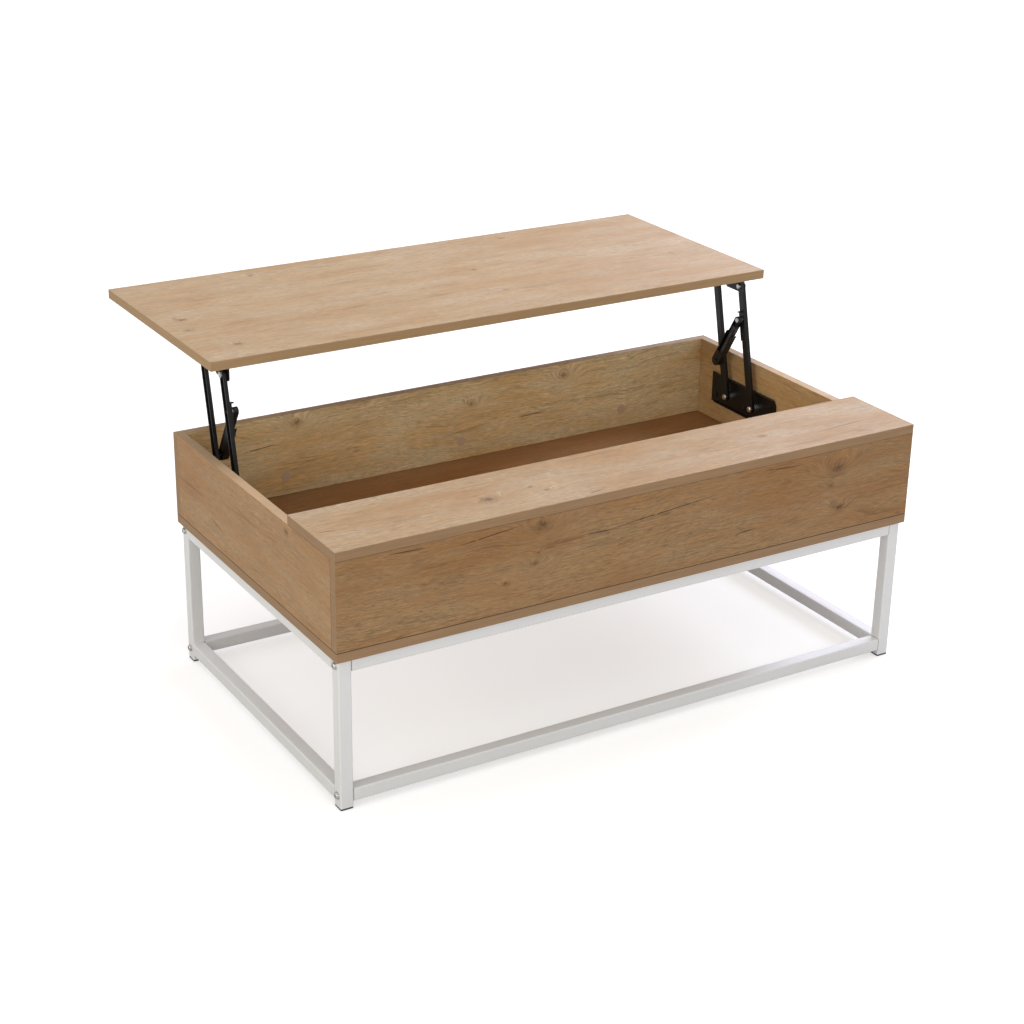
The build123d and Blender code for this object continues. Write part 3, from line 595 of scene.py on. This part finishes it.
def weld_beads():
    """Beads above and below each end of the side rails, but none where the case sits on them."""
    mesh = bmesh.new()
    for side in ("left", "right"):
        for level in ("lower", "upper"):
            low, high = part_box(f"{side}_{level}_rail")
            heights = (low.z, high.z) if level == "lower" else (low.z,)
            for y in (low.y, high.y):
                for z in heights:
                    middle = Vector(((low.x + high.x) / 2, y, z))
                    weld_bead(mesh, middle, BEAD_LENGTH_SHARE * (high.x - low.x))
    bmesh.ops.remove_doubles(mesh, verts=mesh.verts, dist=0.01 * MM)
    bmesh.ops.recalc_face_normals(mesh, faces=mesh.faces)
    data = bpy.data.meshes.new("weld_beads")
    mesh.to_mesh(data)
    mesh.free()
    data.polygons.foreach_set("use_smooth", [True] * len(data.polygons))
    data.materials.append(MATERIALS["white_frame"])
    beads = add_object("weld_beads", data)
    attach(beads, "case_and_frame")


weld_beads()


# ==== Floor, light and camera ======================================================================
FLOOR_HALF = 12.0
FLOOR_GREY = (0.62, 0.62, 0.62, 1.0)
FLOOR_GLOW = (1.0, 0.985, 0.97, 1.0)
GLOW_NEAR, GLOW_FAR = 0.54, 0.75
GLOW_START, GLOW_END = 1.5, 4.0
ROOM_LIGHT = 0.62

# Each light: where it is, where it points, its width and height, its power in watts and its colour
WHITE = (1.0, 1.0, 1.0)
LIGHTS = {
    "key": ((0.2, 0.2, 3.2), (0, 0, 0.3), (2.2, 2.2), 38.0, WHITE),
    "front_fill": ((-1.2, -3.8, 1.9), (0, 0, 0.3), (3.0, 1.4), 29.0, WHITE),
    "left_fill": ((-4.0, -1.0, 1.9), (0, 0, 0.2), (2.0, 1.6), 36.0, (1.05, 1.0, 0.87)),
    "right_fill": ((3.2, 0.6, 2.3), (0, 0, 0.1), (1.2, 1.2), 46.0, (0.94, 0.97, 1.20)),
    "sheen": ((3.0, 2.5, 1.8), (0.2, 0, 0.4), (1.6, 1.2), 26.0, (0.97, 0.97, 1.22)),
}


def floor():
    """White paper, seen a little brighter than the light that it gives back, most of all far away."""
    corners = [(x * FLOOR_HALF, y * FLOOR_HALF, 0) for x, y in ((-1, -1), (1, -1), (1, 1), (-1, 1))]
    data = bpy.data.meshes.new("floor")
    data.from_pydata(corners, [], [(0, 1, 2, 3)])
    g = Graph("studio_floor", roughness=0.9, specular=0.0)
    where, _ = g.place()
    distance = g.nodes.new("ShaderNodeVectorMath")
    distance.operation = "LENGTH"
    g.feed(distance.inputs[0], where)
    ray = g.nodes.new("ShaderNodeLightPath")
    glow = g.ramp(distance.outputs["Value"], GLOW_START, GLOW_END, GLOW_NEAR, GLOW_FAR)
    g.set("Base Color", FLOOR_GREY)
    g.set("Emission Color", FLOOR_GLOW)
    g.set("Emission Strength", g.times(ray.outputs["Is Camera Ray"], glow))
    data.materials.append(g.material)
    add_object("floor", data)


def area_light(name, location, target, size, power, colour):
    """A rectangular light, turned to its target."""
    data = bpy.data.lights.new(name, "AREA")
    data.color = colour
    data.shape = "RECTANGLE"
    data.size, data.size_y = size
    data.energy = power
    light = add_object(name, data, location)
    light.rotation_euler = (Vector(target) - Vector(location)).to_track_quat("-Z", "Y").to_euler()


def world(strength):
    """A white room: seen as pure white, and lighting the object more softly than it looks."""
    room = bpy.data.worlds.new("studio")
    bpy.context.scene.world = room
    room.use_nodes = True
    nodes, links = room.node_tree.nodes, room.node_tree.links
    nodes.clear()
    output = nodes.new("ShaderNodeOutputWorld")
    seen = nodes.new("ShaderNodeBackground")
    lit = nodes.new("ShaderNodeBackground")
    choose = nodes.new("ShaderNodeMixShader")
    ray = nodes.new("ShaderNodeLightPath")
    seen.inputs["Color"].default_value = (1, 1, 1, 1)
    seen.inputs["Strength"].default_value = 1.0
    lit.inputs["Color"].default_value = (1.0, 0.99, 0.98, 1)
    lit.inputs["Strength"].default_value = strength
    links.new(ray.outputs["Is Camera Ray"], choose.inputs[0])
    links.new(lit.outputs[0], choose.inputs[1])
    links.new(seen.outputs[0], choose.inputs[2])
    links.new(choose.outputs[0], output.inputs[0])


def camera(yaw, pitch, roll, lens, distance, aside, above):
    """A camera that looks along yaw from +Y and down by pitch, at a point beside the table's middle."""
    forward = Vector((sin(yaw) * cos(pitch), cos(yaw) * cos(pitch), -sin(pitch)))
    right = Vector((cos(yaw), -sin(yaw), 0.0))
    up = right.cross(forward)
    aim = (table_low + table_high) / 2 + aside * right + above * up
    tilted_right = cos(roll) * right - sin(roll) * up
    tilted_up = cos(roll) * up + sin(roll) * right
    data = bpy.data.cameras.new("camera")
    data.lens = lens
    data.sensor_width = 36.0
    data.clip_end = 60.0
    item = add_object("camera", data)
    turn = Matrix((tilted_right, tilted_up, -forward)).transposed().to_4x4()
    item.matrix_world = Matrix.Translation(aim - distance * forward) @ turn
    bpy.context.scene.camera = item


floor()
world(ROOM_LIGHT)
for name, light in LIGHTS.items():
    area_light(name, *light)
camera(
    yaw=radians(31.38),
    pitch=radians(23.11),
    roll=radians(-0.97),
    lens=72.18,
    distance=3.3084,
    aside=0.01475,
    above=-0.06161,
)
bpy.context.scene.view_settings.view_transform = "Standard"
